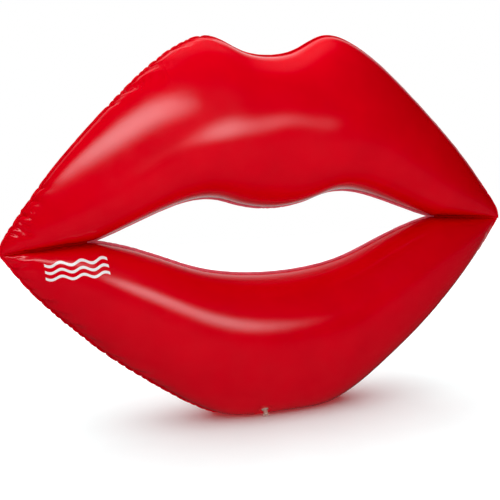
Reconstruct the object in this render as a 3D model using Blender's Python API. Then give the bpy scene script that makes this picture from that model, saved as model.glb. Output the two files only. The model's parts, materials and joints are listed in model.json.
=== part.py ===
"""Inflatable pool float in the shape of a pair of lips, standing upright on its lower lip.

Each lip is an air chamber of its own: a front and a back panel of thin vinyl sheet, welded
together along a narrow flange that runs round the lip. Along the two corners of the mouth
the flanges of the upper and the lower lip lap each other. Each chamber has a soft stem
valve: a flange welded inside the panel, a flexible skirt that lets the stem sink into the
float, a check flap at the stem's inner end, and a plug on a tether.

Metres, +Z up, +X to the right seen from the front, -Y to the front. The origin is on the
floor, under the middle of the float.
"""
import math

import bmesh
import bpy
import numpy as np
from mathutils import Matrix, Vector

# ---------------------------------------------------------------- driving dimensions
# Weld lines of the right half of each lip, from the middle towards the corner, as (x, z)
UPPER_OUTER = [(0.0, 1.200), (0.105, 1.220), (0.215, 1.265), (0.355, 1.210),
               (0.490, 1.100), (0.725, 0.860), (0.840, 0.715), (0.895, 0.635)]
UPPER_INNER = [(0.0, 0.695), (0.130, 0.715), (0.195, 0.735), (0.325, 0.730)]
LOWER_INNER = [(0.0, 0.465), (0.250, 0.495), (0.410, 0.555)]
LOWER_OUTER = [(0.0, -0.024), (0.190, -0.006), (0.400, 0.110), (0.555, 0.225),
               (0.700, 0.355), (0.825, 0.490)]

# The crease where the two lips meet is a straight line on each side
CREASE_START = (0.635, 0.620)      # corner of the mouth opening
CREASE_END = (0.9025, 0.5975)      # tip of the float
UPPER_TIP_X = 0.905
LOWER_TIP_X = 0.900
CREASE_LAP = 0.006                 # between the two lips' weld roots along the crease

SHEET = 0.0005                     # vinyl sheet
GAP = 0.0003                       # left between pieces that touch
FLANGE = 0.007                     # width of the weld flange
FULLNESS = 0.86                    # depth of a lip over its width, inflated
EVENING = 5                        # passes that even the depth out along the lip
# How far a section's fullest line lies towards the mouth, in radians: all along the lip,
# what the bow adds in the middle, and what the corners of the mouth add
UPPER_SKEW = (0.28, -0.36, 0.0)
LOWER_SKEW = (0.12, 0.0, 0.25)
BOW_WIDTH = 0.17
SEAM_STEP = 2 * SHEET + 2 * GAP    # the lower lip's seam plane lies this far behind the upper's
FLOOR_RISE = 0.001                 # the weld root's height where the lip rests on the floor

COLUMNS = 41                       # stations from the left tip to the right tip
SECTION_DEG = (0, 8, 17, 27, 43, 66, 90, 114, 138, 160, 180)   # round half a section

# Stem valves: radii and heights along the valve's axis, zero at the panel's outer surface
SIDES = 20
PORT_RADIUS = 0.012                # hole in the panel
BASE_OUTER = 0.022                 # welded flange
BASE_INNER = 0.013
BASE_TOP = -0.0013
BASE_BOTTOM = -0.0023
SKIRT_TOP = 0.0036                 # where the skirt meets the stem
SKIRT_WALL = 0.0008
STEM_RADIUS = 0.007
STEM_BORE = 0.005
STEM_BOTTOM = -0.006
STEM_TOP = 0.018
LIP_RADIUS = 0.0082
LIP_HEIGHT = 0.0015
FLAP_RADIUS = 0.0062
FLAP_THICKNESS = 0.0006
SHANK_RADIUS = 0.0046
SHANK_LENGTH = 0.008
HEAD_RADIUS = 0.008
HEAD_HEIGHT = 0.002
TAB_LENGTH = 0.0035
TETHER_WIDTH = 0.003
TETHER_THICKNESS = 0.0008
# The tether's loop, as (distance from the valve's axis, height)
TETHER_PATH = [(0.0073, 0.0128), (0.0092, 0.0130), (0.0106, 0.0145), (0.0110, 0.0170),
               (0.0106, 0.0192), (0.0095, 0.0202), (0.0083, 0.0196)]

# The facet that each valve sits on, as (column, row) of the panel's grid
LOWER_VALVE_FACET = (18, 3)
UPPER_VALVE_FACET = (19, 4)


# ---------------------------------------------------------------- scene and materials
def clear_scene():
    for obj in list(bpy.data.objects):
        bpy.data.objects.remove(obj, do_unlink=True)


def plastic(name, colour, roughness, alpha=1.0):
    material = bpy.data.materials.new(name)
    material.use_nodes = True
    shader = material.node_tree.nodes["Principled BSDF"]
    shader.inputs["Base Color"].default_value = (*colour, 1.0)
    shader.inputs["Roughness"].default_value = roughness
    shader.inputs["Metallic"].default_value = 0.0
    shader.inputs["Alpha"].default_value = alpha
    return material


def add_object(name, mesh, material, parent=None):
    obj = bpy.data.objects.new(name, mesh)
    obj.data.materials.append(material)
    bpy.context.scene.collection.objects.link(obj)
    obj.parent = parent
    return obj


def mesh_from(name, bm, sharp_angle=40):
    mesh = bpy.data.meshes.new(name)
    bm.to_mesh(mesh)
    bm.free()
    mesh.shade_smooth()
    mesh.set_sharp_from_angle(angle=math.radians(sharp_angle))
    return mesh


# ---------------------------------------------------------------- outlines of the lips
def crease_height(x):
    (x0, z0), (x1, z1) = CREASE_START, CREASE_END
    return z0 + (np.abs(x) - x0) * (z1 - z0) / (x1 - x0)


def spline_through(points, count):
    """A natural cubic spline through the points, as `count` points evenly spaced along it."""
    p = np.asarray(points, float)
    last = len(p) - 1
    knots = np.r_[0.0, np.cumsum(np.sqrt(np.linalg.norm(np.diff(p, axis=0), axis=1)))]
    step = np.diff(knots)
    matrix = np.eye(last + 1)
    right = np.zeros_like(p)
    for i in range(1, last):
        matrix[i, i - 1 : i + 2] = step[i - 1], 2 * (step[i - 1] + step[i]), step[i]
        right[i] = 6 * ((p[i + 1] - p[i]) / step[i] - (p[i] - p[i - 1]) / step[i - 1])
    bend = np.linalg.solve(matrix, right)
    u = np.linspace(0, knots[-1], 8 * count)
    k = np.clip(np.searchsorted(knots, u, side="right") - 1, 0, last - 1)
    h = step[k][:, None]
    before = (u - knots[k])[:, None]
    after = h - before
    fine = (bend[k] * after**3 + bend[k + 1] * before**3) / (6 * h)
    fine += (p[k] / h - bend[k] * h / 6) * after
    fine += (p[k + 1] / h - bend[k + 1] * h / 6) * before
    along = np.r_[0.0, np.cumsum(np.linalg.norm(np.diff(fine, axis=0), axis=1))]
    even = np.linspace(0, along[-1], count)
    return np.c_[np.interp(even, along, fine[:, 0]), np.interp(even, along, fine[:, 1])]


def whole_outline(half):
    """The outline from the left tip to the right tip, through the half and its mirror image."""
    half = np.asarray(half, float)
    return spline_through(np.r_[half[:0:-1] * [-1, 1], half], COLUMNS)


def lip_outlines(outer_half, inner_half, tip_x, side):
    """The outer and inner weld lines of one lip. side is 1 for the upper lip, -1 for the lower."""
    tip = (tip_x, crease_height(tip_x) + side * CREASE_LAP / 2)
    middle_x = (CREASE_START[0] + CREASE_END[0]) / 2
    crease = [CREASE_START, (middle_x, crease_height(middle_x)), tip]
    outer = whole_outline(outer_half + [tip])
    inner = whole_outline(inner_half + crease)
    # the weld root keeps to its own side of the crease
    limit = crease_height(inner[:, 0]) + side * CREASE_LAP / 2
    inner[:, 1] = side * np.maximum(side * inner[:, 1], side * limit)
    inner[[0, -1]] = outer[[0, -1]]
    return outer, inner


def flange_outline(outer, inner, side, inner_width):
    """The flange's edge: the weld lines moved outward, with mitred corners at the tips."""
    loop = np.r_[outer, inner[-2:0:-1]]
    width = np.r_[np.full(len(outer), FLANGE), inner_width[-2:0:-1]]
    width[[0, COLUMNS - 1]] = inner_width[[0, -1]]
    run = np.roll(loop, -1, axis=0) - loop
    run /= np.linalg.norm(run, axis=1)[:, None]
    normal_out = side * np.c_[-run[:, 1], run[:, 0]]
    normal_in = np.roll(normal_out, 1, axis=0)
    mitre = normal_in + normal_out
    mitre /= np.linalg.norm(mitre, axis=1)[:, None]
    reach = 1 / np.maximum(np.sum(mitre * normal_out, axis=1), 0.6)
    edge = loop + mitre * (width * reach)[:, None]
    edge[:, 1] = np.maximum(edge[:, 1], 0.0)
    outer_edge = edge[:COLUMNS]
    inner_edge = np.r_[edge[:1], edge[:COLUMNS - 1:-1], edge[COLUMNS - 1 : COLUMNS]]
    return outer_edge, inner_edge


# ---------------------------------------------------------------- panels
def lip_depth(outer, inner):
    """How far the lip bulges from its seam plane at each station, evened out along the lip."""
    middle = (outer + inner) / 2
    along = np.gradient(middle, axis=0)
    along /= np.linalg.norm(along, axis=1)[:, None]
    across = outer - inner
    width = np.abs(across[:, 0] * along[:, 1] - across[:, 1] * along[:, 0])
    for _ in range(EVENING):
        width[1:-1] = (width[:-2] + 2 * width[1:-1] + width[2:]) / 4
    return FULLNESS * width / 2


def section_skew(x, skew):
    along, bow, corner = skew
    return along + bow * np.exp(-((x / BOW_WIDTH) ** 2)) + corner * (x / UPPER_TIP_X) ** 4


def panel_grid(outer, inner, outer_edge, inner_edge, skew, seam_y, facing):
    """Points of a panel's outer surface: flange, bulging rows, flange. facing is -1 in front."""
    angle = np.radians(SECTION_DEG)
    depth = lip_depth(outer, inner)
    lean = section_skew(outer[:, 0], skew)
    skin_y = GAP / 2 + SHEET

    grid = np.zeros((len(angle) + 2, COLUMNS, 3))
    for row, a in enumerate(angle, start=1):
        share = (1 - math.cos(a)) / 2
        grid[row, :, 0::2] = outer * (1 - share) + inner * share
        grid[row, :, 1] = depth * np.sin(a - lean * math.sin(a))
    grid[1:-1, :, 2] = np.maximum(grid[1:-1, :, 2], 0.0)
    grid[1, :, 2] = np.maximum(grid[1, :, 2], FLOOR_RISE)
    grid[0, :, 0::2] = outer_edge
    grid[-1, :, 0::2] = inner_edge
    grid[:, :, 1] = seam_y + facing * (skin_y + grid[:, :, 1])
    return grid


def make_panel(name, grid, side, facing, material):
    """A closed solid, one sheet thick, from the points of its outer surface."""
    rows, columns = grid.shape[:2]
    bm = bmesh.new()
    vertices = [[bm.verts.new(point) for point in line] for line in grid]
    for r in range(rows - 1):
        for c in range(columns - 1):
            corners = [vertices[r][c], vertices[r + 1][c],
                       vertices[r + 1][c + 1], vertices[r][c + 1]]
            if side * facing > 0:
                corners.reverse()
            bm.faces.new(corners)
    bmesh.ops.remove_doubles(bm, verts=bm.verts, dist=1e-6)
    panel = add_object(name, mesh_from(name, bm), material)
    wall = panel.modifiers.new("Sheet", "SOLIDIFY")
    wall.thickness = SHEET
    wall.offset = -1
    return panel


def make_lips(material):
    """The four panels, and the two lips' grids by name."""
    upper = lip_outlines(UPPER_OUTER, UPPER_INNER, UPPER_TIP_X, 1)
    lower = lip_outlines(LOWER_OUTER, LOWER_INNER, LOWER_TIP_X, -1)
    lips = {"upper": (upper, 1, UPPER_SKEW, 0.0), "lower": (lower, -1, LOWER_SKEW, SEAM_STEP)}
    panels, grids = {}, {}
    for lip, ((outer, inner), side, skew, seam_y) in lips.items():
        x = inner[:, 0]
        room = np.interp(x, *upper[1].T) - np.interp(x, *lower[1].T) - 2 * GAP
        edges = flange_outline(outer, inner, side, np.minimum(room, FLANGE))
        for face, facing in (("front", -1), ("back", 1)):
            key = f"{lip}_lip_{face}_panel"
            grids[key] = panel_grid(outer, inner, *edges, skew, seam_y, facing)
            panels[key] = make_panel(key, grids[key], side, facing, material)
    return panels, grids


# ---------------------------------------------------------------- valves
def turned(name, profile, closed=True):
    """Mesh of a profile of (radius, height) points turned about Z."""
    bm = bmesh.new()
    points = [bm.verts.new((radius, 0, height)) for radius, height in profile]
    for start, end in zip(points, points[1:]):
        bm.edges.new((start, end))
    if closed:
        bm.edges.new((points[-1], points[0]))
    bmesh.ops.spin(bm, geom=bm.verts[:] + bm.edges[:], axis=(0, 0, 1), cent=(0, 0, 0),
                   angle=2 * math.pi, steps=SIDES, use_merge=True, use_duplicate=False)
    bmesh.ops.remove_doubles(bm, verts=bm.verts, dist=1e-6)
    bmesh.ops.recalc_face_normals(bm, faces=bm.faces)
    return mesh_from(name, bm)


def make_base(name, material, parent):
    """The ring that is welded to the inside of the panel, round the port."""
    profile = [(BASE_INNER, BASE_BOTTOM), (BASE_OUTER, BASE_BOTTOM),
               (BASE_OUTER, BASE_TOP), (BASE_INNER, BASE_TOP)]
    return add_object(name, turned(name, profile), material, parent)


def make_skirt(name, material, parent):
    """The thin cone that joins the ring to the stem."""
    outer = BASE_INNER - GAP
    inner = STEM_RADIUS + GAP
    profile = [(outer - SKIRT_WALL, BASE_BOTTOM), (outer, BASE_BOTTOM),
               (outer, BASE_BOTTOM + SKIRT_WALL), (inner, SKIRT_TOP),
               (inner, SKIRT_TOP - 1.25 * SKIRT_WALL)]
    return add_object(name, turned(name, profile), material, parent)


def make_stem(name, material, parent):
    """The tube that is blown into, with a rolled lip at its outer end."""
    shoulder = STEM_TOP - LIP_HEIGHT
    profile = [(STEM_BORE, STEM_BOTTOM), (STEM_RADIUS, STEM_BOTTOM),
               (STEM_RADIUS, shoulder), (LIP_RADIUS, shoulder),
               (LIP_RADIUS, STEM_TOP), (STEM_BORE, STEM_TOP)]
    return add_object(name, turned(name, profile), material, parent)


def make_flap(name, material, parent):
    """The check flap across the stem's inner end. Its origin is on its hinge, at its rim."""
    profile = [(0, -FLAP_THICKNESS), (FLAP_RADIUS, -FLAP_THICKNESS), (FLAP_RADIUS, 0), (0, 0)]
    mesh = turned(name, profile, closed=False)
    mesh.transform(Matrix.Translation((0, -FLAP_RADIUS, 0)))
    flap = add_object(name, mesh, material, parent)
    flap.location = (0, FLAP_RADIUS, STEM_BOTTOM - GAP)
    return flap


def make_plug(name, material, parent):
    """The plug: a shank in the stem's bore, a head on its lip and a tab to pull it by."""
    seat = STEM_TOP + GAP
    top = seat + HEAD_HEIGHT
    profile = [(0, seat - SHANK_LENGTH), (0.8 * SHANK_RADIUS, seat - SHANK_LENGTH),
               (SHANK_RADIUS, seat - 0.8 * SHANK_LENGTH), (SHANK_RADIUS, seat),
               (HEAD_RADIUS, seat), (HEAD_RADIUS, top), (0, top)]
    mesh = turned(name, profile, closed=False)
    bm = bmesh.new()
    bm.from_mesh(mesh)
    towards_tab = Vector((-1, 0, 0))
    rim = [face for face in bm.faces
           if face.calc_center_median().z > seat and face.normal.dot(towards_tab) > 0.85]
    pulled = bmesh.ops.extrude_face_region(bm, geom=rim)["geom"]
    tip = [item for item in pulled if isinstance(item, bmesh.types.BMVert)]
    bmesh.ops.translate(bm, verts=tip, vec=towards_tab * TAB_LENGTH)
    bmesh.ops.delete(bm, geom=rim, context="FACES_ONLY")
    bm.to_mesh(mesh)
    bm.free()
    return add_object(name, mesh, material, parent)


def make_tether(name, material, parent):
    """The strap that keeps the plug on the stem."""
    path = [Vector((distance, 0, height)) for distance, height in TETHER_PATH]
    bm = bmesh.new()
    rings = []
    for i, point in enumerate(path):
        run = (path[min(i + 1, len(path) - 1)] - path[max(i - 1, 0)]).normalized()
        out = Vector((run.z, 0, -run.x)) * TETHER_THICKNESS / 2
        wide = Vector((0, TETHER_WIDTH / 2, 0))
        corners = (point + out + wide, point + out - wide, point - out - wide, point - out + wide)
        rings.append([bm.verts.new(corner) for corner in corners])
    for one, two in zip(rings, rings[1:]):
        for k in range(4):
            bm.faces.new((one[k], one[(k + 1) % 4], two[(k + 1) % 4], two[k]))
    bm.faces.new(rings[0])
    bm.faces.new(rings[-1][::-1])
    bmesh.ops.recalc_face_normals(bm, faces=bm.faces)
    return add_object(name, mesh_from(name, bm), material, parent)


def valve_frame(name, grid, facet):
    """An empty in the middle of a panel's facet, with its Z axis out of the float."""
    column, row = facet
    corners = [Vector(grid[row + 1 + i, column + j]) for i, j in ((0, 0), (1, 0), (1, 1), (0, 1))]
    centre = sum(corners, Vector()) / 4
    outward = (corners[2] - corners[0]).cross(corners[3] - corners[1]).normalized()
    middle_of_lip = Vector((centre.x, 0, grid[:, column, 2].mean()))
    if outward.dot(centre - middle_of_lip) < 0:
        outward.negate()
    sideways = Vector((1, 0, 0))
    sideways = (sideways - outward * sideways.dot(outward)).normalized()
    turn = Matrix((sideways, outward.cross(sideways), outward)).transposed()
    empty = bpy.data.objects.new(name, None)
    bpy.context.scene.collection.objects.link(empty)
    empty.matrix_world = Matrix.Translation(centre) @ turn.to_4x4()
    return empty


def cut_port(panel, frame, material):
    """Cuts the valve's round port out of a panel."""
    profile = [(0, -PORT_RADIUS), (PORT_RADIUS, -PORT_RADIUS), (PORT_RADIUS, PORT_RADIUS),
               (0, PORT_RADIUS)]
    name = f"{frame.name}_cutter"
    cutter = add_object(name, turned(name, profile, closed=False), material, frame)
    cutter.hide_render = True
    cutter.display_type = "WIRE"
    port = panel.modifiers.new("Port", "BOOLEAN")
    port.operation = "DIFFERENCE"
    port.solver = "EXACT"
    port.object = cutter


def make_valve(lip, panel, grid, facet, material):
    frame = valve_frame(f"{lip}_valve_frame", grid, facet)
    cut_port(panel, frame, material)
    makers = {"flange": make_base, "skirt": make_skirt, "stem": make_stem,
              "flap": make_flap, "plug": make_plug, "tether": make_tether}
    for piece, make in makers.items():
        make(f"{lip}_valve_{piece}", material, frame)


# ---------------------------------------------------------------- the float
def main():
    clear_scene()
    vinyl = plastic("red_vinyl", (0.62, 0.002, 0.008), 0.3)
    clear = plastic("clear_vinyl", (0.80, 0.76, 0.72), 0.25, 0.6)
    panels, grids = make_lips(vinyl)
    for lip, face, facet in (("upper", "back", UPPER_VALVE_FACET),
                             ("lower", "front", LOWER_VALVE_FACET)):
        key = f"{lip}_lip_{face}_panel"
        make_valve(lip, panels[key], grids[key], facet, clear)


main()
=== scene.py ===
"""Looks of the lip-shaped pool float: puckered vinyl skins, welds, soft valves and the studio."""
import json
import math

import bmesh
import bpy
import numpy as np
from mathutils import Matrix, Vector


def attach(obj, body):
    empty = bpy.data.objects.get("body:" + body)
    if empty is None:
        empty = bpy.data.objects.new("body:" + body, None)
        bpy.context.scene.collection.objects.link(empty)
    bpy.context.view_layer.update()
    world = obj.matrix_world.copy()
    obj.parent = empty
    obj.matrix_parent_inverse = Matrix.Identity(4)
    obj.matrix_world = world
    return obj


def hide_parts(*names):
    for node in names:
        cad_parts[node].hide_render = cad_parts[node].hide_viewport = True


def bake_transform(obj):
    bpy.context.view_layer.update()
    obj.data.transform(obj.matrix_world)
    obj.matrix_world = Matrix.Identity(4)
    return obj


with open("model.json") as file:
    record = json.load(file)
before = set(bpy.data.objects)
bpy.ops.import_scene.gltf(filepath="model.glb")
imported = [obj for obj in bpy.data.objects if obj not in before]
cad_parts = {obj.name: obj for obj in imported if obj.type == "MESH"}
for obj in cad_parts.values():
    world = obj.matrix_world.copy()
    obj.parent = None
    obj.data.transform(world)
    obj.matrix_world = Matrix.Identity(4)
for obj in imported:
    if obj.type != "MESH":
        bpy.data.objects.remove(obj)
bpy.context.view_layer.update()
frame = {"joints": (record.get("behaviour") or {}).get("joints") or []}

# ---------------------------------------------------------------- sizes shared with the part
# Weld lines of the right half of each lip, from the middle towards the corner, as (x, z)
UPPER_OUTER = [(0.0, 1.200), (0.105, 1.220), (0.215, 1.265), (0.355, 1.210),
               (0.490, 1.100), (0.725, 0.860), (0.840, 0.715), (0.895, 0.635)]
UPPER_INNER = [(0.0, 0.695), (0.130, 0.715), (0.195, 0.735), (0.325, 0.730)]
LOWER_INNER = [(0.0, 0.465), (0.250, 0.495), (0.410, 0.555)]
LOWER_OUTER = [(0.0, -0.024), (0.190, -0.006), (0.400, 0.110), (0.555, 0.225),
               (0.700, 0.355), (0.825, 0.490)]
CREASE_START = (0.635, 0.620)
CREASE_END = (0.9025, 0.5975)
UPPER_TIP_X = 0.905
LOWER_TIP_X = 0.900
CREASE_LAP = 0.006
SHEET = 0.0005
GAP = 0.0003
FLANGE = 0.007
FULLNESS = 0.86
EVENING = 5
# How far a section's fullest line lies towards the mouth, in radians: all along the lip,
# what the bow adds in the middle, and what the corners of the mouth add
UPPER_SKEW = (0.28, -0.36, 0.0)
LOWER_SKEW = (0.12, 0.0, 0.25)
BOW_WIDTH = 0.17
SEAM_STEP = 2 * SHEET + 2 * GAP
STATIONS = 41                      # the part's stations along a lip
PORT_RADIUS = 0.012
BASE_OUTER = 0.022
BASE_INNER = 0.013
BASE_TOP = -0.0013
BASE_BOTTOM = -0.0023
SKIRT_TOP = 0.0036
STEM_RADIUS = 0.007
STEM_BORE = 0.005
STEM_BOTTOM = -0.006
STEM_TOP = 0.018
FLAP_RADIUS = 0.0062
SHANK_RADIUS = 0.0046
SHANK_LENGTH = 0.008
HEAD_RADIUS = 0.008
TETHER_PATH = [(0.0073, 0.0128), (0.0092, 0.0130), (0.0106, 0.0145), (0.0110, 0.0170),
               (0.0106, 0.0192), (0.0095, 0.0202), (0.0083, 0.0196)]

# ---------------------------------------------------------------- fineness of the skins
PER_STATION = 30                   # fine columns between two of the part's stations
COLUMNS = (STATIONS - 1) * PER_STATION + 1
SECTION_ROWS = 36                  # round half a section
ROW_CROWDING = 0.125               # draws the rows towards the welds
FLOOR_SOFTNESS = 0.002             # how gently the lower lip turns off the floor
GATHERED_DEPTH = 0.03              # a lip shallower than this gathers less
RIPPLE_PITCH = 0.10                # of the weld flanges
RIPPLE_HEIGHT = 0.0012
SMOOTH_ANGLE = math.radians(55)    # sharper edges of a skin aren't shaded smooth


# ---------------------------------------------------------------- outlines
def crease_height(x):
    (x0, z0), (x1, z1) = CREASE_START, CREASE_END
    return z0 + (np.abs(x) - x0) * (z1 - z0) / (x1 - x0)


def spline_through(points, count):
    """A natural cubic spline through the points, as `count` points evenly spaced along it."""
    p = np.asarray(points, float)
    last = len(p) - 1
    knots = np.r_[0.0, np.cumsum(np.sqrt(np.linalg.norm(np.diff(p, axis=0), axis=1)))]
    step = np.diff(knots)
    matrix = np.eye(last + 1)
    right = np.zeros_like(p)
    for i in range(1, last):
        matrix[i, i - 1 : i + 2] = step[i - 1], 2 * (step[i - 1] + step[i]), step[i]
        right[i] = 6 * ((p[i + 1] - p[i]) / step[i] - (p[i] - p[i - 1]) / step[i - 1])
    bend = np.linalg.solve(matrix, right)
    u = np.linspace(0, knots[-1], 8 * count)
    k = np.clip(np.searchsorted(knots, u, side="right") - 1, 0, last - 1)
    h = step[k][:, None]
    before = (u - knots[k])[:, None]
    after = h - before
    fine = (bend[k] * after**3 + bend[k + 1] * before**3) / (6 * h)
    fine += (p[k] / h - bend[k] * h / 6) * after
    fine += (p[k + 1] / h - bend[k + 1] * h / 6) * before
    along = np.r_[0.0, np.cumsum(np.linalg.norm(np.diff(fine, axis=0), axis=1))]
    even = np.linspace(0, along[-1], count)
    return np.c_[np.interp(even, along, fine[:, 0]), np.interp(even, along, fine[:, 1])]


def whole_outline(half, count):
    half = np.asarray(half, float)
    return spline_through(np.r_[half[:0:-1] * [-1, 1], half], count)


def lip_outlines(outer_half, inner_half, tip_x, side, count):
    """The outer and inner weld lines of one lip. side is 1 for the upper lip, -1 for the lower."""
    tip = (tip_x, crease_height(tip_x) + side * CREASE_LAP / 2)
    middle_x = (CREASE_START[0] + CREASE_END[0]) / 2
    crease = [CREASE_START, (middle_x, crease_height(middle_x)), tip]
    outer = whole_outline(outer_half + [tip], count)
    inner = whole_outline(inner_half + crease, count)
    limit = crease_height(inner[:, 0]) + side * CREASE_LAP / 2
    inner[:, 1] = side * np.maximum(side * inner[:, 1], side * limit)
    inner[[0, -1]] = outer[[0, -1]]
    return outer, inner


def lip_depth(outer, inner):
    """How far the lip bulges from its seam plane at each of the part's stations."""
    middle = (outer + inner) / 2
    along = np.gradient(middle, axis=0)
    along /= np.linalg.norm(along, axis=1)[:, None]
    across = outer - inner
    width = np.abs(across[:, 0] * along[:, 1] - across[:, 1] * along[:, 0])
    for _ in range(EVENING):
        width[1:-1] = (width[:-2] + 2 * width[1:-1] + width[2:]) / 4
    return FULLNESS * width / 2


def section_skew(x, skew):
    along, bow, corner = skew
    return along + bow * np.exp(-((x / BOW_WIDTH) ** 2)) + corner * (x / UPPER_TIP_X) ** 4


def running_mean(values, reach):
    """Each value averaged with its neighbours out to `reach`, which shrinks towards the ends."""
    total = np.r_[0.0, np.cumsum(values)]
    i = np.arange(len(values))
    r = np.minimum(reach, np.minimum(i, i[::-1]))
    return (total[i + r + 1] - total[i - r]) / (2 * r + 1)


def fine_depth(coarse):
    """The stations' depths as a smooth curve at every fine column."""
    at = np.arange(COLUMNS) / PER_STATION
    depth = np.interp(at, np.arange(STATIONS), coarse)
    for _ in range(2):
        depth = running_mean(depth, PER_STATION // 2)
    return depth


def smooth_step(x, low, high):
    t = np.clip((x - low) / (high - low), 0, 1)
    return t * t * (3 - 2 * t)


# ---------------------------------------------------------------- gathers
GATHER_MARGIN = 0.01               # along a weld, left free of creases at both ends
GATHER_SEARCH = 0.01               # steps along a weld where no zone gathers
CREASE_REACH = 0.15                # how far along the weld one crease is worked out
CREASE_SWING = 0.30                # how much a crease's slant varies
CREASE_BREADTH = (0.005, 0.10)     # at the weld, and what each metre away from it adds
CREASE_BLUNTNESS = (0.0004, 0.05)  # likewise, for the rounding of the crease's bottom
CREASE_DEEPENING = (0.6, 50)       # share of the depth at the weld, and what each metre adds
CREASE_FADE = 1.4                  # how sharply a crease ends at its length


class Gathers:
    """The creases along one weld, with cushions of vinyl between them."""

    def __init__(self, seed, line, zones):
        """zones lists (x from, x to, spacing, depth, length, slant), in metres."""
        draw = np.random.default_rng(seed)
        self.line = line
        self.run = np.r_[0.0, np.cumsum(np.linalg.norm(np.diff(line, axis=0), axis=1))]
        self.creases = []
        at = GATHER_MARGIN
        while at < self.run[-1] - GATHER_MARGIN:
            column = int(np.argmin(np.abs(self.run - at)))
            x = line[column, 0]
            zone = next((z for z in zones if z[0] <= x <= z[1]), None)
            if zone is None:
                at += GATHER_SEARCH
                continue
            _, _, spacing, depth, length, slant = zone
            self.creases.append((column, depth * draw.uniform(0.5, 1.0),
                                 length * draw.uniform(0.5, 1.5), draw.uniform(0.7, 1.4), slant))
            at += spacing * draw.uniform(0.5, 1.5)

    def fold(self, points, distance, seed):
        """Inward movement of the points, whose distance from the weld is given, in metres."""
        draw = np.random.default_rng(seed)
        inward = np.zeros_like(distance)
        for column, depth, length, breadth, slant in self.creases:
            length *= draw.uniform(0.7, 1.3)
            slant += draw.uniform(-CREASE_SWING, CREASE_SWING)
            near = np.abs(self.run - self.run[column]) < CREASE_REACH
            along = self.line[column + 1] - self.line[column - 1]
            along /= np.linalg.norm(along)
            q = distance[:, near]
            off = (points[:, near][:, :, 0::2] - self.line[column]) @ along - slant * q
            blunt = CREASE_BLUNTNESS[0] + CREASE_BLUNTNESS[1] * q
            off = np.sqrt(off * off + blunt * blunt) - blunt
            wide = breadth * (CREASE_BREADTH[0] + CREASE_BREADTH[1] * q)
            deep = depth * (CREASE_DEEPENING[0] + CREASE_DEEPENING[1] * q)
            inward[:, near] += deep * np.exp(-off / wide - (q / length) ** CREASE_FADE)
        return inward


# Creases that the corner of the mouth pinches into the front skins, as (start, end, depth), (x, z)
UPPER_PINCHES = [((-0.850, 0.728), (-0.786, 0.707), 0.0040),
                 ((-0.845, 0.700), (-0.795, 0.684), 0.0034),
                 ((-0.872, 0.668), (-0.835, 0.652), 0.0030)]
LOWER_PINCHES = [((-0.858, 0.588), (-0.790, 0.593), 0.0026),
                 ((-0.866, 0.550), (-0.800, 0.573), 0.0036),
                 ((-0.790, 0.449), (-0.722, 0.434), 0.0060),
                 ((-0.712, 0.362), (-0.655, 0.352), 0.0060)]
PINCH_WIDTH = 0.0050


def pinch(points, start, end, depth):
    """Inward movement along one crease, deepest at its start, with a raised fold above it."""
    start, end = np.array(start), np.array(end)
    length = np.linalg.norm(end - start)
    along = (end - start) / length
    from_start = points[:, :, 0::2] - start
    t = from_start @ along / length
    off = from_start @ np.array((-along[1], along[0]))
    taper = smooth_step(t, -0.15, 0.1) * (1 - smooth_step(t, 0.3, 1.0))
    width = PINCH_WIDTH * (0.7 + 0.6 * np.clip(t, 0, 1))
    return depth * taper * (np.exp(-((off / width) ** 2))
                            - 0.55 * np.exp(-(((off - 2.0 * width) / (1.3 * width)) ** 2)))


def wave(seed, run, pitch, height):
    """A smooth irregular wave along a weld."""
    draw = np.random.default_rng(seed)
    total = np.zeros_like(run)
    for k in (1.0, 1.7, 2.9):
        total += np.sin(2 * math.pi * run / (pitch / k) + draw.uniform(0, 2 * math.pi)) / k
    return height * total / 1.9


# ---------------------------------------------------------------- skins of the lips
def mitred_offset(outer, inner, side):
    """Unit-width outward offset of the welds: for each line, the move per metre of flange."""
    loop = np.r_[outer, inner[-2:0:-1]]
    run = np.roll(loop, -1, axis=0) - loop
    run /= np.linalg.norm(run, axis=1)[:, None]
    normal_out = side * np.c_[-run[:, 1], run[:, 0]]
    normal_in = np.roll(normal_out, 1, axis=0)
    mitre = normal_in + normal_out
    mitre /= np.linalg.norm(mitre, axis=1)[:, None]
    move = mitre / np.maximum(np.sum(mitre * normal_out, axis=1), 0.6)[:, None]
    count = len(outer)
    return move[:count], np.r_[move[:1], move[:count - 1:-1], move[count - 1 : count]]


def surface_normals(grid):
    """Unit normals of a grid of points, by central differences."""
    down = np.gradient(grid, axis=0)
    over = np.gradient(grid, axis=1)
    normal = np.cross(down, over)
    length = np.linalg.norm(normal, axis=2, keepdims=True)
    return normal / np.maximum(length, 1e-12)


def keep_off_floor(z):
    """Heights pressed flat against the floor, turning gently off it."""
    return (z + np.sqrt(z * z + FLOOR_SOFTNESS**2)) / 2


class Lip:
    """One lip's weld lines, depth and puckers, at every fine column."""

    def __init__(self, name, outer_half, inner_half, tip_x, side, seam_y, skew, seed, zones):
        coarse = lip_outlines(outer_half, inner_half, tip_x, side, STATIONS)
        self.name = name
        self.side = side
        self.seam_y = seam_y
        self.depth = fine_depth(lip_depth(*coarse))
        self.outer, self.inner = lip_outlines(outer_half, inner_half, tip_x, side, COLUMNS)
        self.skew = section_skew(self.outer[:, 0], skew)
        self.outer_gathers = Gathers(seed, self.outer, zones["outer"])
        self.inner_gathers = Gathers(seed + 1, self.inner, zones["inner"])
        self.seed = seed
        self.pinches = UPPER_PINCHES if side > 0 else LOWER_PINCHES


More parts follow.
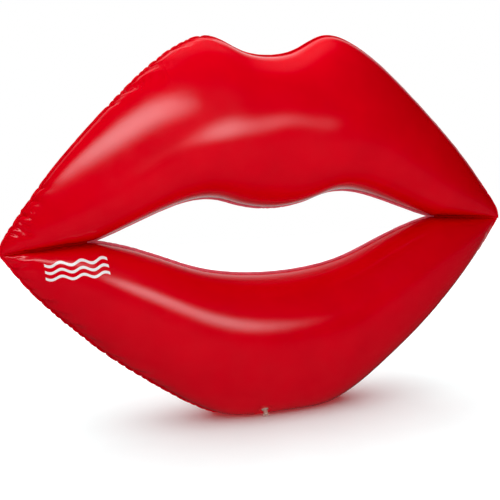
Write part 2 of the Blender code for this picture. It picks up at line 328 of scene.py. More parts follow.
# Where each weld gathers, as (x from, x to, spacing, depth, length, slant). The left gathers most
UPPER_ZONES = {
    "outer": [(-0.89, -0.75, 0.042, 0.0056, 0.036, 0.35), (-0.75, -0.56, 0.110, 0.0016, 0.020, 0.6),
              (-0.56, -0.20, 0.031, 0.0085, 0.028, 1.1), (-0.20, 0.20, 0.070, 0.0010, 0.015, 0.0),
              (0.20, 0.80, 0.090, 0.0010, 0.015, -0.5), (0.80, 0.89, 0.035, 0.0034, 0.020, -0.3)],
    "inner": [(-0.04, 0.04, 0.012, 0.0030, 0.010, 0.0), (-0.60, 0.60, 0.050, 0.0010, 0.012, 0.0),
              (-0.90, -0.62, 0.050, 0.0022, 0.025, 0.0), (0.62, 0.90, 0.060, 0.0012, 0.022, 0.0)],
}
LOWER_ZONES = {
    "outer": [(-0.89, -0.45, 0.036, 0.0070, 0.030, 0.7), (-0.45, -0.14, 0.042, 0.0044, 0.024, 0.5),
              (0.14, 0.80, 0.080, 0.0014, 0.018, -0.4), (0.80, 0.89, 0.035, 0.0036, 0.020, -0.4)],
    "inner": [(-0.62, -0.30, 0.026, 0.0022, 0.012, 0.0), (-0.30, 0.30, 0.050, 0.0008, 0.010, 0.0),
              (0.30, 0.62, 0.040, 0.0010, 0.012, 0.0), (-0.90, -0.62, 0.045, 0.0022, 0.025, 0.0),
              (0.62, 0.90, 0.060, 0.0012, 0.022, 0.0)],
}


def section_angles():
    t = np.linspace(0, 1, SECTION_ROWS)
    return math.pi * (t - ROW_CROWDING * np.sin(2 * math.pi * t))


def skin_grid(lip, facing, room):
    """The outer surface of one panel: flange, weld root, bulge, weld root, flange."""
    angles = section_angles()
    share = (1 - np.cos(angles))[:, None, None] / 2
    bulge = np.zeros((len(angles), COLUMNS, 3))
    bulge[:, :, 0::2] = lip.outer[None] * (1 - share) + lip.inner[None] * share
    swell = np.sin(angles[:, None] - np.sin(angles)[:, None] * lip.skew[None, :])
    bulge[:, :, 1] = facing * swell * lip.depth[None, :]

    steps = np.linalg.norm(np.diff(bulge, axis=0), axis=2)
    from_outer = np.vstack([np.zeros(COLUMNS), np.cumsum(steps, axis=0)])
    from_inner = from_outer[-1][None] - from_outer
    seed = 10 * lip.seed + (2 if facing > 0 else 1)
    inward = lip.outer_gathers.fold(bulge, from_outer, seed)
    inward += lip.inner_gathers.fold(bulge, from_inner, seed + 5)
    inward *= np.minimum(1.0, lip.depth / GATHERED_DEPTH)[None, :]
    if facing < 0:
        for start, end, depth in lip.pinches:
            inward += pinch(bulge, start, end, depth)

    move_out, move_in = mitred_offset(lip.outer, lip.inner, lip.side)
    normal = surface_normals(bulge)
    normal *= np.sign(np.sum(normal[:, :, 1]) * facing)
    for row, move in ((0, move_out), (-1, move_in)):
        normal[row, :, 0::2] = move
        normal[row, :, 1] = 0.0
    bulge -= normal * inward[:, :, None]
    bulge[:, :, 1] = facing * np.maximum(facing * bulge[:, :, 1], 0.0)
    bulge[:, :, 2] = keep_off_floor(bulge[:, :, 2])

    skin_y = GAP / 2 + SHEET
    width_out = np.full(COLUMNS, FLANGE)
    width_in = np.minimum(room, FLANGE)
    width_out[[0, -1]] = width_in[[0, -1]]
    edges = []
    for row, move, width, gathers, number in ((0, move_out, width_out, lip.outer_gathers, 0),
                                              (-1, move_in, width_in, lip.inner_gathers, 1)):
        ripple = wave(lip.seed + 20 + number, gathers.run, RIPPLE_PITCH, RIPPLE_HEIGHT)
        ripple = ripple * smooth_step(width, 0.003, FLANGE)
        strips = []
        for part in (0.5, 1.0):
            strip = bulge[row].copy()
            strip[:, 0::2] += move * (width * part)[:, None]
            strip[:, 1] = ripple * part * part
            strip[:, 2] = keep_off_floor(strip[:, 2])
            strips.append(strip[None])
        edges.append(strips)
    grid = np.vstack([edges[0][1], edges[0][0], bulge, edges[1][0], edges[1][1]])
    grid[:, :, 1] += lip.seam_y + facing * skin_y
    return grid


def float_lips():
    upper = Lip("upper", UPPER_OUTER, UPPER_INNER, UPPER_TIP_X, 1, 0.0, UPPER_SKEW, 11, UPPER_ZONES)
    lower = Lip("lower", LOWER_OUTER, LOWER_INNER, LOWER_TIP_X, -1, SEAM_STEP, LOWER_SKEW, 51,
                LOWER_ZONES)
    return upper, lower


def mouth_room(lip, upper, lower):
    x = lip.inner[:, 0]
    return np.interp(x, *upper.inner.T) - np.interp(x, *lower.inner.T) - 2 * GAP


# ---------------------------------------------------------------- valve ports in the skins
PORT_CUT = 0.026                   # radius within which the skin's quads give way to rings
PORT_BAND = 0.03                   # how far along the valve's axis that reaches
PORT_FLAT = (0.020, 0.070)         # radii between which the skin goes from flat to its own curve
PORT_NEAR = (0.08, 0.05)           # radius and height of what flattening touches
RING_LEVELLING = (0.020, 0.030)    # radii between which the rings settle onto the base
# The rings from the weld inwards, as (radius, height)
PORT_RINGS = [(0.0225, 0.0), (0.0215, -0.00035), (0.0145, -0.00035), (0.0135, 0.0),
              (PORT_RADIUS + 0.0012, 0.0), (PORT_RADIUS + 0.0007, -0.0004)]
WELD_RING = 2                      # the ring whose strip of quads is the bottom of the weld


def valve_place(lip_name):
    """The valve's frame, from its joints: Z along the stem out of the float, X the flap's hinge."""
    joints = {joint["name"]: joint for joint in frame["joints"]}
    out = -Vector(joints[f"{lip_name}_valve_stem_push"]["axis"])
    flap = joints[f"{lip_name}_valve_flap_swing"]
    across = Vector(flap["axis"])
    up = out.cross(across)
    centre = Vector(flap["pos_m"]) - up * FLAP_RADIUS - out * (STEM_BOTTOM - GAP)
    turn = Matrix((across, up, out)).transposed().to_4x4()
    return Matrix.Translation(centre) @ turn


def flatten_at_port(grid, place):
    """Settles the skin onto the valve's base and fades back to the lip's own curve."""
    local = grid @ np.array(place.inverted().to_3x3()).T + np.array(place.inverted().translation)
    radius = np.hypot(local[..., 0], local[..., 1])
    near = (radius < PORT_NEAR[0]) & (np.abs(local[..., 2]) < PORT_NEAR[1])
    keep = smooth_step(radius, *PORT_FLAT)
    local[..., 2] = np.where(near, local[..., 2] * keep, local[..., 2])
    world = local @ np.array(place.to_3x3()).T + np.array(place.translation)
    world[..., 2] = np.maximum(world[..., 2], 0.0)
    return np.where(near[..., None], world, grid), local, radius


def port_rings(loop, place):
    """Rings of points from a loop of skin round the valve down to the port's edge."""
    back = place.inverted()
    local = np.array([back @ Vector(p) for p in loop])
    angle = np.unwrap(np.arctan2(local[:, 1], local[:, 0]))
    even = np.sign(angle[-1] - angle[0]) * 2 * math.pi * np.arange(len(angle)) / len(angle)
    angle = even + np.mean(angle - even)
    rings = []
    for radius, height in PORT_RINGS:
        level = local[:, 2] * smooth_step(radius, *RING_LEVELLING)
        ring = np.c_[radius * np.cos(angle), radius * np.sin(angle), height + level]
        rings.append([np.array(place @ Vector(p)) for p in ring])
    return rings


def weld_slot(grid, row, column):
    """0 on the bulge, 1 on the outer weld and the crease between the lips, 2 round the mouth, where
    the weld's pale colour is a painted highlight.
    """
    if row < 2:
        return 1
    if row < len(grid) - 3:
        return 0
    return 2 if abs(grid[row, column, 0]) < CREASE_START[0] else 1


def skin_mesh(name, grid, flip, materials, place=None):
    """A mesh of the grid's quads, with the welds in their own materials and a port cut at place."""
    rows, columns = grid.shape[:2]
    cut = set()
    if place is not None:
        grid, local, radius = flatten_at_port(grid, place)
        inside = (radius < PORT_CUT) & (np.abs(local[..., 2]) < PORT_BAND)
        hit_rows = np.flatnonzero(inside.any(axis=1))
        hit_columns = np.flatnonzero(inside.any(axis=0))
        r0, r1 = hit_rows[0] - 1, hit_rows[-1] + 1
        c0, c1 = hit_columns[0] - 1, hit_columns[-1] + 1
        cut = {(r, c) for r in range(r0, r1) for c in range(c0, c1)}
    points = [tuple(p) for p in grid.reshape(-1, 3)]
    faces, slots = [], []
    for r in range(rows - 1):
        for c in range(columns - 1):
            if (r, c) in cut:
                continue
            a = r * columns + c
            quad = (a, a + columns, a + columns + 1, a + 1)
            faces.append(quad[::-1] if flip else quad)
            slots.append(weld_slot(grid, r, c))
    if place is not None:
        around = [(r0, c) for c in range(c0, c1)] + [(r, c1) for r in range(r0, r1)]
        around += [(r1, c) for c in range(c1, c0, -1)] + [(r, c0) for r in range(r1, r0, -1)]
        before = [r * columns + c for r, c in around]
        count = len(before)
        for number, ring in enumerate(port_rings([grid[r, c] for r, c in around], place)):
            start = len(points)
            points += [tuple(p) for p in ring]
            now = list(range(start, start + count))
            for k in range(count):
                j = (k + 1) % count
                quad = (before[k], now[k], now[j], before[j])
                faces.append(quad if flip else quad[::-1])
                slots.append(1 if number == WELD_RING else 0)
            before = now
    mesh = bpy.data.meshes.new(name)
    mesh.from_pydata(points, [], faces)
    for material in materials:
        mesh.materials.append(material)
    mesh.polygons.foreach_set("material_index", slots)
    bm = bmesh.new()
    bm.from_mesh(mesh)
    bmesh.ops.remove_doubles(bm, verts=bm.verts, dist=2e-6)
    bm.to_mesh(mesh)
    bm.free()
    mesh.shade_smooth()
    mesh.set_sharp_from_angle(angle=SMOOTH_ANGLE)
    return mesh


def link(name, mesh):
    obj = bpy.data.objects.new(name, mesh)
    bpy.context.scene.collection.objects.link(obj)
    return obj


def make_skins(materials):
    """The four panels. materials are the bulge's, the outer weld's and the mouth's weld's, the last
    painted pale as a highlight.
    """
    upper, lower = float_lips()
    ports = {("upper", "back"): valve_place("upper"), ("lower", "front"): valve_place("lower")}
    for lip in (upper, lower):
        room = mouth_room(lip, upper, lower)
        for face, facing in (("front", -1), ("back", 1)):
            name = f"{lip.name}_{face}_skin"
            grid = skin_grid(lip, facing, room)
            flip = lip.side * facing > 0
            place = ports.get((lip.name, face))
            skin = link(name, skin_mesh(name, grid, flip, materials, place))
            wall = skin.modifiers.new("Sheet", "SOLIDIFY")
            wall.thickness = SHEET
            wall.offset = -1
            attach(skin, "float")
            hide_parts(f"{lip.name}_lip_{face}_panel")


# ---------------------------------------------------------------- valves
VALVE_SIDES = 64
VALVE_SMOOTH_ANGLE = math.radians(50)
SKIRT_WALL = 0.0007
SKIRT_SWAY = 0.06                  # of the S in the skirt's wall, as a share of its height
PLUG_SEAT = STEM_TOP + GAP
HEAD_HEIGHT = 0.002
TAB_REACH = 0.0035
TAB_HALF_ANGLE = 0.42
STRAP_WIDTH = 0.0028
STRAP_THICKNESS = 0.0007
STRAP_SIDES = 12


def rounded(profile, radius, steps=4):
    """The closed profile with each corner replaced by an arc of about that radius."""
    p = [np.array(q, float) for q in profile]
    out = []
    for i, corner in enumerate(p):
        before, after = p[i - 1] - corner, p[(i + 1) % len(p)] - corner
        reach = min(radius, 0.45 * np.linalg.norm(before), 0.45 * np.linalg.norm(after))
        start = corner + before / np.linalg.norm(before) * reach
        end = corner + after / np.linalg.norm(after) * reach
        for k in range(steps + 1):
            t = k / steps
            out.append((1 - t) ** 2 * start + 2 * t * (1 - t) * corner + t * t * end)
    return out


def turned(profile, closed=True):
    """bmesh of (radius, height) points turned about Z."""
    bm = bmesh.new()
    points = [bm.verts.new((max(r, 0.0), 0, z)) for r, z in profile]
    for start, end in zip(points, points[1:]):
        bm.edges.new((start, end))
    if closed:
        bm.edges.new((points[-1], points[0]))
    bmesh.ops.spin(bm, geom=bm.verts[:] + bm.edges[:], axis=(0, 0, 1), cent=(0, 0, 0),
                   angle=2 * math.pi, steps=VALVE_SIDES, use_merge=True, use_duplicate=False)
    bmesh.ops.remove_doubles(bm, verts=bm.verts, dist=1e-6)
    bmesh.ops.recalc_face_normals(bm, faces=bm.faces)
    return bm


def valve_piece(name, bm, place, material, node, body):
    mesh = bpy.data.meshes.new(name)
    bm.to_mesh(mesh)
    bm.free()
    mesh.transform(place)
    mesh.shade_smooth()
    mesh.set_sharp_from_angle(angle=VALVE_SMOOTH_ANGLE)
    mesh.materials.append(material)
    piece = link(name, mesh)
    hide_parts(node)
    if body:
        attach(piece, body)
    return piece


def base_profile():
    """The ring welded inside the panel."""
    return rounded([(BASE_INNER, BASE_BOTTOM), (BASE_OUTER, BASE_BOTTOM), (BASE_OUTER, BASE_TOP),
                    (BASE_INNER, BASE_TOP)], 0.0003)


def skirt_profile():
    """A thin rolling cone between the ring and the stem, with a soft S in its wall."""
    outer, inner = BASE_INNER - GAP, STEM_RADIUS + GAP
    t = np.linspace(0, 1, 14)
    radius = outer + (inner - outer) * t
    rise = SKIRT_TOP - BASE_BOTTOM - SKIRT_WALL
    height = BASE_BOTTOM + SKIRT_WALL + rise * (t + SKIRT_SWAY * np.sin(2 * np.pi * t))
    top = list(zip(radius, height))
    bottom = [(r, z - SKIRT_WALL) for r, z in top[::-1]]
    return [np.array(q) for q in top + bottom]


def stem_profile():
    """The tube, with a step where the skirt joins it and a rolled lip at its mouth."""
    return rounded([
        (STEM_BORE, STEM_BOTTOM), (STEM_RADIUS - 0.0004, STEM_BOTTOM),
        (STEM_RADIUS - 0.0001, STEM_BOTTOM + 0.004), (STEM_RADIUS - 0.0001, 0.0072),
        (STEM_RADIUS + 0.0004, 0.0078), (STEM_RADIUS + 0.0004, 0.0090),
        (STEM_RADIUS - 0.0001, 0.0096), (STEM_RADIUS - 0.0001, STEM_TOP - 0.0022),
        (0.0082, STEM_TOP - 0.0014), (0.0082, STEM_TOP - 0.0002), (0.0078, STEM_TOP),
        (STEM_BORE, STEM_TOP)], 0.0004, 3)


def plug_profile():
    """The shank with a retaining bead, and a dished head."""
    seat = PLUG_SEAT
    top = seat + HEAD_HEIGHT
    return [(0, seat - SHANK_LENGTH), (0.0030, seat - SHANK_LENGTH), (0.0036, seat - 0.0076),
            (0.0042, seat - 0.0066), (SHANK_RADIUS, seat - 0.0056), (SHANK_RADIUS, seat - 0.0046),
            (0.0043, seat - 0.0040), (0.0043, seat - 0.0004), (0.0046, seat),
            (HEAD_RADIUS - 0.0004, seat), (HEAD_RADIUS, seat + 0.0004), (HEAD_RADIUS, top - 0.0008),
            (HEAD_RADIUS - 0.0003, top - 0.0003), (HEAD_RADIUS - 0.0010, top),
            (0.0050, top), (0.0044, top - 0.0004), (0.0012, top - 0.0004), (0.0, top - 0.0003)]


def add_plug_tab(bm):
    """Draws a rounded grip tab out of the head's rim."""
    underside = PLUG_SEAT + 0.0002
    for vertex in bm.verts:
        x, y, z = vertex.co
        if z < underside or math.hypot(x, y) < 0.9 * HEAD_RADIUS:
            continue
        off = math.atan2(y, -x)
        vertex.co.x -= TAB_REACH * math.exp(-((off / TAB_HALF_ANGLE) ** 4))


def strap(path, width, thickness):
    """A strap with rounded edges swept along a smooth curve through the path, in the XZ plane."""
    line = spline_through(path, 40)
    bm = bmesh.new()
    rings = []
    for i in range(len(line)):
        run = line[min(i + 1, len(line) - 1)] - line[max(i - 1, 0)]
        run = run / np.linalg.norm(run)
        out = np.array((run[1], -run[0]))
        ring = []
        for k in range(STRAP_SIDES):
            a = 2 * math.pi * k / STRAP_SIDES
            wide = math.copysign(abs(math.cos(a)) ** 0.5, math.cos(a)) * width / 2
            thick = math.copysign(abs(math.sin(a)) ** 0.5, math.sin(a)) * thickness / 2
            spot = line[i] + out * thick
            ring.append(bm.verts.new((spot[0], wide, spot[1])))
        rings.append(ring)
    for one, two in zip(rings, rings[1:]):
        for k in range(STRAP_SIDES):
            j = (k + 1) % STRAP_SIDES
            bm.faces.new((one[k], one[j], two[j], two[k]))
    bm.faces.new(rings[0])
    bm.faces.new(rings[-1][::-1])
    bmesh.ops.recalc_face_normals(bm, faces=bm.faces)
    return bm


def make_valve(lip_name, material):
    """The six pieces of one lip's valve."""
    place = valve_place(lip_name)
    node = f"{lip_name}_valve"
    stem_body, plug_body, flap_body = f"{node}_stem", f"{node}_plug", f"{node}_flap"
    out = place.to_3x3() @ Vector((0, 0, 1))

    def along(height):
        return tuple(place.translation + out * height)

    valve_piece(f"{node}_ring", turned(base_profile()), place, material, f"{node}_flange", "float")
    skirt = valve_piece(f"{node}_bellows", turned(skirt_profile()), place, material,
                        f"{node}_skirt", None)
    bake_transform(skirt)
    valve_piece(f"{node}_tube", turned(stem_profile()), place, material, f"{node}_stem", stem_body)
    flap_profile = [(0, -0.0006), (FLAP_RADIUS - 0.0003, -0.0006), (FLAP_RADIUS, -0.0003),
                    (FLAP_RADIUS - 0.0001, 0.0), (FLAP_RADIUS - 0.0006, 0.0), (0, 0.0)]
    disc = turned(flap_profile, closed=False)
    bmesh.ops.translate(disc, verts=disc.verts, vec=(0, 0, STEM_BOTTOM - GAP))
    valve_piece(f"{node}_disc", disc, place, material, f"{node}_flap", flap_body)
    stopper = turned(plug_profile(), closed=False)
    add_plug_tab(stopper)
    valve_piece(f"{node}_stopper", stopper, place, material, f"{node}_plug", plug_body)
    tie = valve_piece(f"{node}_strap", strap(TETHER_PATH, STRAP_WIDTH, STRAP_THICKNESS), place,
                      material, f"{node}_tether", None)
    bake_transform(tie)


# ---------------------------------------------------------------- materials
class Nodes:
    """Short names for building a material's node tree."""

    def __init__(self, name):
        self.material = bpy.data.materials.new(name)
        self.material.use_nodes = True
        self.tree = self.material.node_tree
        self.shader = self.tree.nodes["Principled BSDF"]
        self.place = self.add("ShaderNodeTexCoord").outputs["Object"]

    def add(self, kind, **settings):
        node = self.tree.nodes.new(kind)
        for key, value in settings.items():
            setattr(node, key, value)
        return node

    def join(self, source, target):
        self.tree.links.new(source, target)

    def noise(self, scale, detail=2.0, roughness=0.5):
        node = self.add("ShaderNodeTexNoise")
        self.join(self.place, node.inputs["Vector"])
        node.inputs["Scale"].default_value = scale
        node.inputs["Detail"].default_value = detail
        node.inputs["Roughness"].default_value = roughness
        return node.outputs["Fac"]

    def spread(self, value, low, high):
        """The value's middle range mapped to low..high."""
        node = self.add("ShaderNodeMapRange")
        self.join(value, node.inputs["Value"])
        node.inputs["From Min"].default_value = 0.3
        node.inputs["From Max"].default_value = 0.7
        node.inputs["To Min"].default_value = low
        node.inputs["To Max"].default_value = high
        return node.outputs["Result"]

    def blend_colours(self, value, first, second):
        node = self.add("ShaderNodeMix", data_type="RGBA")
        self.join(value, node.inputs["Factor"])
        node.inputs["A"].default_value = (*first, 1)
        node.inputs["B"].default_value = (*second, 1)
        return next(o for o in node.outputs if o.type == "RGBA")

    def calculate(self, operation, first, second=None):
        node = self.add("ShaderNodeMath", operation=operation)
        for value, socket in ((first, node.inputs[0]), (second, node.inputs[1])):
            if isinstance(value, (int, float)):
                socket.default_value = value
            elif value is not None:
                self.join(value, socket)
        return node.outputs[0]

    def below(self, value, limit, softness=0.0006):
        """1 where the value is under the limit, with a soft edge."""
        node = self.add("ShaderNodeMapRange", interpolation_type="SMOOTHSTEP")
        self.join(value, node.inputs["Value"])
        node.inputs["From Min"].default_value = limit - softness
        node.inputs["From Max"].default_value = limit + softness
        node.inputs["To Min"].default_value = 1.0
        node.inputs["To Max"].default_value = 0.0
        return node.outputs["Result"]

    def bump(self, height, strength, distance, before=None):
        node = self.add("ShaderNodeBump")
        self.join(height, node.inputs["Height"])
        node.inputs["Strength"].default_value = strength
        node.inputs["Distance"].default_value = distance
        if before is not None:
            self.join(before, node.inputs["Normal"])
        return node.outputs["Normal"]


VINYL_IOR = 1.46
VINYL_RED = ((0.68, 0.0010, 0.010), (0.62, 0.0008, 0.009))
RED_WELD = ((0.72, 0.002, 0.010), (0.62, 0.001, 0.008))
# Round the mouth the weld's pale pink is a painted highlight: the bright line where that weld
# catches the light
MOUTH_WELD_PAINTED_HIGHLIGHT = ((0.84, 0.16, 0.21), (0.76, 0.11, 0.16))
# The valves' milky clear vinyl with a pink tint painted in: the tint stands for the red light it
# picks up from the vinyl around it
CLEAR_VINYL_PAINTED_RED_BOUNCE = ((0.96, 0.66, 0.56), (0.90, 0.56, 0.46))
FLOOR_WHITE = ((0.93, 0.93, 0.93), (0.90, 0.90, 0.90))

# The printed mark: three white ripples below the left corner of the mouth
MARK_CENTRE = (-0.685, 0.0, 0.549)
MARK_ALONG = (0.9986, 0.0, 0.052)
MARK_LENGTH = 0.19
MARK_PITCH = 0.021
MARK_STROKE = 0.0085
MARK_SWING = 0.0055
MARK_WAVE = 0.0635
MARK_WHITE = (0.86, 0.84, 0.84, 1)


def mark_mask(n):
    """1 on the mark's strokes, on the front of the float, and 0 elsewhere."""
    from_centre = n.add("ShaderNodeVectorMath", operation="SUBTRACT")
    n.join(n.place, from_centre.inputs[0])
    from_centre.inputs[1].default_value = MARK_CENTRE
    x, _, z = MARK_ALONG
    parts = []
    for direction in (MARK_ALONG, (-z, 0.0, x), (0.0, 1.0, 0.0)):
        part = n.add("ShaderNodeVectorMath", operation="DOT_PRODUCT")
        n.join(from_centre.outputs[0], part.inputs[0])
        part.inputs[1].default_value = direction
        parts.append(part.outputs["Value"])
    along, across, back = parts
    swing = n.calculate("MULTIPLY", n.calculate("SINE", n.calculate("MULTIPLY", along,
                        2 * math.pi / MARK_WAVE)), MARK_SWING)
    height = n.calculate("SUBTRACT", across, swing)
    stroke = n.below(n.calculate("PINGPONG", height, MARK_PITCH / 2), MARK_STROKE / 2)
    within = n.below(n.calculate("ABSOLUTE", height), 1.5 * MARK_PITCH)
    ends = n.below(n.calculate("ABSOLUTE", along), MARK_LENGTH / 2)
    front = n.below(back, 0.0)
    return n.calculate("MULTIPLY", n.calculate("MULTIPLY", stroke, within),
                       n.calculate("MULTIPLY", ends, front))


def vinyl_material():
    """Red calendered vinyl: satin, with a faint orange peel, slow unevenness and the mark."""
    n = Nodes("red_vinyl_skin")
    tone = n.spread(n.noise(7.0, 3.0), 0.0, 1.0)
    red = n.blend_colours(tone, *VINYL_RED)
    mark = mark_mask(n)
    printed = n.add("ShaderNodeMix", data_type="RGBA")
    n.join(mark, printed.inputs["Factor"])
    n.join(red, printed.inputs["A"])
    printed.inputs["B"].default_value = MARK_WHITE
    n.join(next(o for o in printed.outputs if o.type == "RGBA"), n.shader.inputs["Base Color"])
    n.join(n.spread(n.noise(22.0, 4.0), 0.15, 0.19), n.shader.inputs["Roughness"])
    peel = n.bump(n.noise(420.0, 2.0), 0.10, 0.0003)
    n.join(n.bump(n.noise(26.0, 2.0), 0.16, 0.0012, peel), n.shader.inputs["Normal"])
    n.shader.inputs["IOR"].default_value = VINYL_IOR
    n.shader.inputs["Specular IOR Level"].default_value = 0.5
    return n.material


def weld_material(name, colours):
    """A welded edge: the same vinyl, pressed thinner by a knurled die. Round the mouth its colours
    are a painted highlight, pale pink where the weld catches the light.
    """
    n = Nodes(name)
    tone = n.spread(n.noise(30.0, 3.0), 0.0, 1.0)
    n.join(n.blend_colours(tone, *colours), n.shader.inputs["Base Color"])
    n.join(n.spread(n.noise(60.0, 3.0), 0.42, 0.52), n.shader.inputs["Roughness"])
    knurl = n.add("ShaderNodeTexWave", wave_type="BANDS", bands_direction="DIAGONAL")
    n.join(n.place, knurl.inputs["Vector"])
    knurl.inputs["Scale"].default_value = 260.0
    knurl.inputs["Distortion"].default_value = 0.4
    n.join(n.bump(knurl.outputs["Fac"], 0.25, 0.0002), n.shader.inputs["Normal"])
    n.shader.inputs["IOR"].default_value = VINYL_IOR
    n.shader.inputs["Specular IOR Level"].default_value = 0.08
    return n.material


def clear_material():
    """Soft clear vinyl of the valves: milky, with moulding swirl, its pink tint painted in for the
    red light it picks up from the vinyl around it.
    """
    n = Nodes("clear_soft_vinyl")
    tone = n.spread(n.noise(160.0, 3.0), 0.0, 1.0)
    n.join(n.blend_colours(tone, *CLEAR_VINYL_PAINTED_RED_BOUNCE), n.shader.inputs["Base Color"])
    n.join(n.spread(n.noise(300.0, 2.0), 0.18, 0.32), n.shader.inputs["Roughness"])
    n.join(n.bump(n.noise(700.0, 2.0), 0.15, 0.0002), n.shader.inputs["Normal"])
    n.shader.inputs["IOR"].default_value = 1.5
    n.shader.inputs["Transmission Weight"].default_value = 0.45
    return n.material


# ---------------------------------------------------------------- studio
CAMERA_YAW = math.radians(21.14)
CAMERA_TILT = math.radians(6.54)
CAMERA_ROLL = math.radians(1.51)
CAMERA_DISTANCE = 3.418
CAMERA_AIM = Vector((0, 0, 0.66))
CAMERA_LENS = 72.0
CAMERA_SHIFT = (-0.0433, -0.0668)
FLOOR_HALF = 4.0
FLOOR_LEVEL = -0.0003
BLACK_LEVEL = 0.005                # taken off the picture's darks


def make_camera():
    ahead = Vector((math.sin(CAMERA_YAW) * math.cos(CAMERA_TILT),
                    math.cos(CAMERA_YAW) * math.cos(CAMERA_TILT), -math.sin(CAMERA_TILT)))
    right = ahead.cross(Vector((0, 0, 1))).normalized()
    up = right.cross(ahead)
    rolled_right = right * math.cos(CAMERA_ROLL) - up * math.sin(CAMERA_ROLL)
    rolled_up = right * math.sin(CAMERA_ROLL) + up * math.cos(CAMERA_ROLL)
    data = bpy.data.cameras.new("camera")
    data.lens = CAMERA_LENS
    data.sensor_width = 36.0
    data.shift_x, data.shift_y = CAMERA_SHIFT
    data.clip_start, data.clip_end = 0.1, 100.0
    camera = bpy.data.objects.new("camera", data)
    bpy.context.scene.collection.objects.link(camera)
    turn = Matrix((rolled_right, rolled_up, -ahead)).transposed().to_4x4()
    camera.matrix_world = Matrix.Translation(CAMERA_AIM - ahead * CAMERA_DISTANCE) @ turn
    bpy.context.scene.camera = camera


def area_light(name, seen_from, azimuth, elevation, distance, size, power, glossy=True):
    """A softbox facing a point of the float, at an azimuth from -Y towards +X and an elevation."""
    data = bpy.data.lights.new(name, "AREA")
    data.shape = "RECTANGLE"
    data.size, data.size_y = size
    data.energy = power
    light = bpy.data.objects.new(name, data)
    bpy.context.scene.collection.objects.link(light)
    a, e = math.radians(azimuth), math.radians(elevation)
    towards = Vector((math.sin(a) * math.cos(e), -math.cos(a) * math.cos(e), math.sin(e)))
    light.location = Vector(seen_from) + distance * towards
    light.rotation_euler = (-towards).to_track_quat("-Z", "Y").to_euler()
    light.visible_camera = False
    light.visible_glossy = glossy
    return light


def soften(light):
    """Makes a softbox's face brightest in the middle and dark at its rim."""
    light.data.use_nodes = True
    tree = light.data.node_tree
    lamp = tree.nodes["Emission"]
    face = tree.nodes.new("ShaderNodeNewGeometry")
    spot = tree.nodes.new("ShaderNodeVectorMath")
    spot.operation = "DISTANCE"
    spot.inputs[1].default_value = (0.5, 0.5, 0.0)
    fade = tree.nodes.new("ShaderNodeMapRange")
    fade.interpolation_type = "SMOOTHSTEP"
    fade.inputs["From Min"].default_value = 0.05
    fade.inputs["From Max"].default_value = 0.5
    fade.inputs["To Min"].default_value = 1.0
    fade.inputs["To Max"].default_value = 0.0
    tree.links.new(face.outputs["Parametric"], spot.inputs[0])
    tree.links.new(spot.outputs["Value"], fade.inputs["Value"])
    tree.links.new(fade.outputs["Result"], lamp.inputs["Strength"])


def dark_card_in_front(n):
    """In the float's gloss the floor is dark, like a black card, except well behind the float."""
    split = n.add("ShaderNodeSeparateXYZ")
    n.join(n.place, split.inputs["Vector"])
    behind = n.add("ShaderNodeMapRange", interpolation_type="SMOOTHSTEP")
    behind.inputs["From Min"].default_value = 0.5
    behind.inputs["From Max"].default_value = 1.5
    behind.inputs["To Min"].default_value = 0.05
    behind.inputs["To Max"].default_value = 0.6
    n.join(split.outputs["Y"], behind.inputs["Value"])
    card = n.add("ShaderNodeEmission")
    n.join(behind.outputs["Result"], card.inputs["Strength"])
    rays = n.add("ShaderNodeLightPath")
    choice = n.add("ShaderNodeMixShader")
    n.join(rays.outputs["Is Glossy Ray"], choice.inputs["Fac"])
    n.join(n.shader.outputs["BSDF"], choice.inputs[1])
    n.join(card.outputs["Emission"], choice.inputs[2])
    n.join(choice.outputs["Shader"], n.tree.nodes["Material Output"].inputs["Surface"])


def make_floor():
    """A white floor just under the float, seen by the eye but lighting nothing."""
    mesh = bpy.data.meshes.new("floor")
    half = FLOOR_HALF
    mesh.from_pydata([(-half, -half, 0), (half, -half, 0), (half, half, 0), (-half, half, 0)],
                     [], [(0, 1, 2, 3)])
    n = Nodes("pale_floor")
    n.join(n.blend_colours(n.spread(n.noise(3.0), 0.0, 1.0), *FLOOR_WHITE),
           n.shader.inputs["Base Color"])
    n.join(n.spread(n.noise(9.0), 0.22, 0.28), n.shader.inputs["Roughness"])
    n.shader.inputs["Specular IOR Level"].default_value = 0.0
    dark_card_in_front(n)
    mesh.materials.append(n.material)
    floor = link("floor", mesh)
    floor.location.z = FLOOR_LEVEL
    floor.visible_diffuse = False
    return floor


def background(tree, strength):
    node = tree.nodes.new("ShaderNodeBackground")
    node.inputs["Color"].default_value = (1, 1, 1, 1)
    node.inputs["Strength"].default_value = strength
    return node


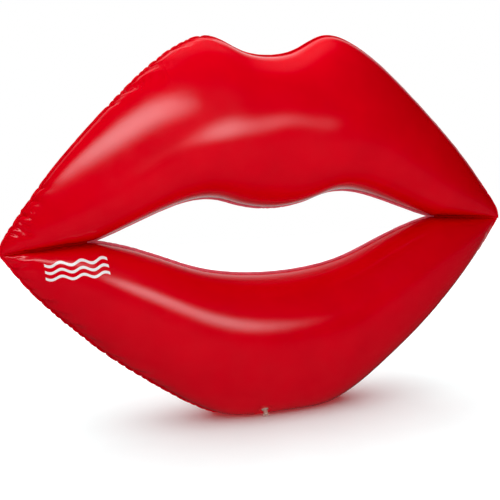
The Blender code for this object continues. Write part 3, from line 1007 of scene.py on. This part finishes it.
def make_world():
    """White to the eye, soft light mostly from below, and for gloss a dark room, pale behind."""
    world = bpy.data.worlds.new("studio")
    world.use_nodes = True
    bpy.context.scene.world = world
    tree = world.node_tree
    tree.nodes.clear()
    output = tree.nodes.new("ShaderNodeOutputWorld")
    rays = tree.nodes.new("ShaderNodeLightPath")
    seen = background(tree, 1.0)
    soft = background(tree, 0.0)
    mirrored = background(tree, 0.0)
    direction = tree.nodes.new("ShaderNodeTexCoord")
    split = tree.nodes.new("ShaderNodeSeparateXYZ")
    tree.links.new(direction.outputs["Generated"], split.inputs["Vector"])
    for axis, node, low, high, first, last in (("Y", mirrored, 0.55, 1.0, 0.001, 1.0),
                                               ("Z", soft, -0.3, 0.1, 0.90, 0.20)):
        ramp = tree.nodes.new("ShaderNodeMapRange")
        ramp.interpolation_type = "SMOOTHSTEP"
        ramp.inputs["From Min"].default_value = low
        ramp.inputs["From Max"].default_value = high
        ramp.inputs["To Min"].default_value = first
        ramp.inputs["To Max"].default_value = last
        tree.links.new(split.outputs[axis], ramp.inputs["Value"])
        tree.links.new(ramp.outputs["Result"], node.inputs["Strength"])
    shiny = tree.nodes.new("ShaderNodeMixShader")
    tree.links.new(rays.outputs["Is Glossy Ray"], shiny.inputs["Fac"])
    tree.links.new(soft.outputs["Background"], shiny.inputs[1])
    tree.links.new(mirrored.outputs["Background"], shiny.inputs[2])
    either = tree.nodes.new("ShaderNodeMixShader")
    tree.links.new(rays.outputs["Is Camera Ray"], either.inputs["Fac"])
    tree.links.new(shiny.outputs["Shader"], either.inputs[1])
    tree.links.new(seen.outputs["Background"], either.inputs[2])
    tree.links.new(either.outputs["Shader"], output.inputs["Surface"])


def shaded_by(light, names):
    """Lets only the named pieces throw a shadow from the light."""
    group = bpy.data.collections.new(f"{light.name}_shades")
    for name in names:
        group.objects.link(bpy.data.objects[name])
    light.light_linking.blocker_collection = group


def linked_only(lights, floor, state):
    """Makes the lights reach the floor alone ("INCLUDE") or all but the floor ("EXCLUDE")."""
    group = bpy.data.collections.new(f"floor_{state.lower()}")
    group.objects.link(floor)
    group.collection_objects[0].light_linking.link_state = state
    for light in lights:
        light.light_linking.receiver_collection = group


def make_studio():
    """Camera, floor, world and lamps. Gives back the lamp that washes the floor."""
    make_camera()
    floor = make_floor()
    make_world()
    key = area_light("key", (-0.5, -0.13, 0.95), -54, 43, 2.4, (3.6, 1.15), 88)
    front = area_light("front", (-0.3, -0.17, 0.40), 7, 20, 2.6, (2.9, 1.4), 66)
    soften(key)
    soften(front)
    lights = [key, front]
    lights.append(area_light("top", (0.0, 0.0, 0.2), 180, 65, 3.2, (2.5, 2.5), 124, glossy=False))
    lights.append(area_light("fill", (-0.1, 0.0, 0.3), -10, 34, 3.2, (2.5, 2.5), 20, glossy=False))
    linked_only(lights, floor, "EXCLUDE")
    wash = area_light("wash", (0.0, 0.5, 0.0), 180, 76, 4.0, (14.0, 14.0), 1060, glossy=False)
    wash.data.color = (0.90, 1.0, 1.0)
    linked_only([wash], floor, "INCLUDE")
    view = bpy.context.scene.view_settings
    view.view_transform = "Standard"
    view.use_curve_mapping = True
    view.curve_mapping.black_level = (BLACK_LEVEL,) * 3
    return wash


# ---------------------------------------------------------------- the whole scene
wash = make_studio()
# The third material, round the mouth, is painted pale pink as a highlight
make_skins((vinyl_material(), weld_material("red_vinyl_weld", RED_WELD),
            weld_material("pale_vinyl_weld", MOUTH_WELD_PAINTED_HIGHLIGHT)))
shaded_by(wash, ("lower_front_skin", "lower_back_skin"))
clear = clear_material()
for lip_name in ("upper", "lower"):
    make_valve(lip_name, clear)
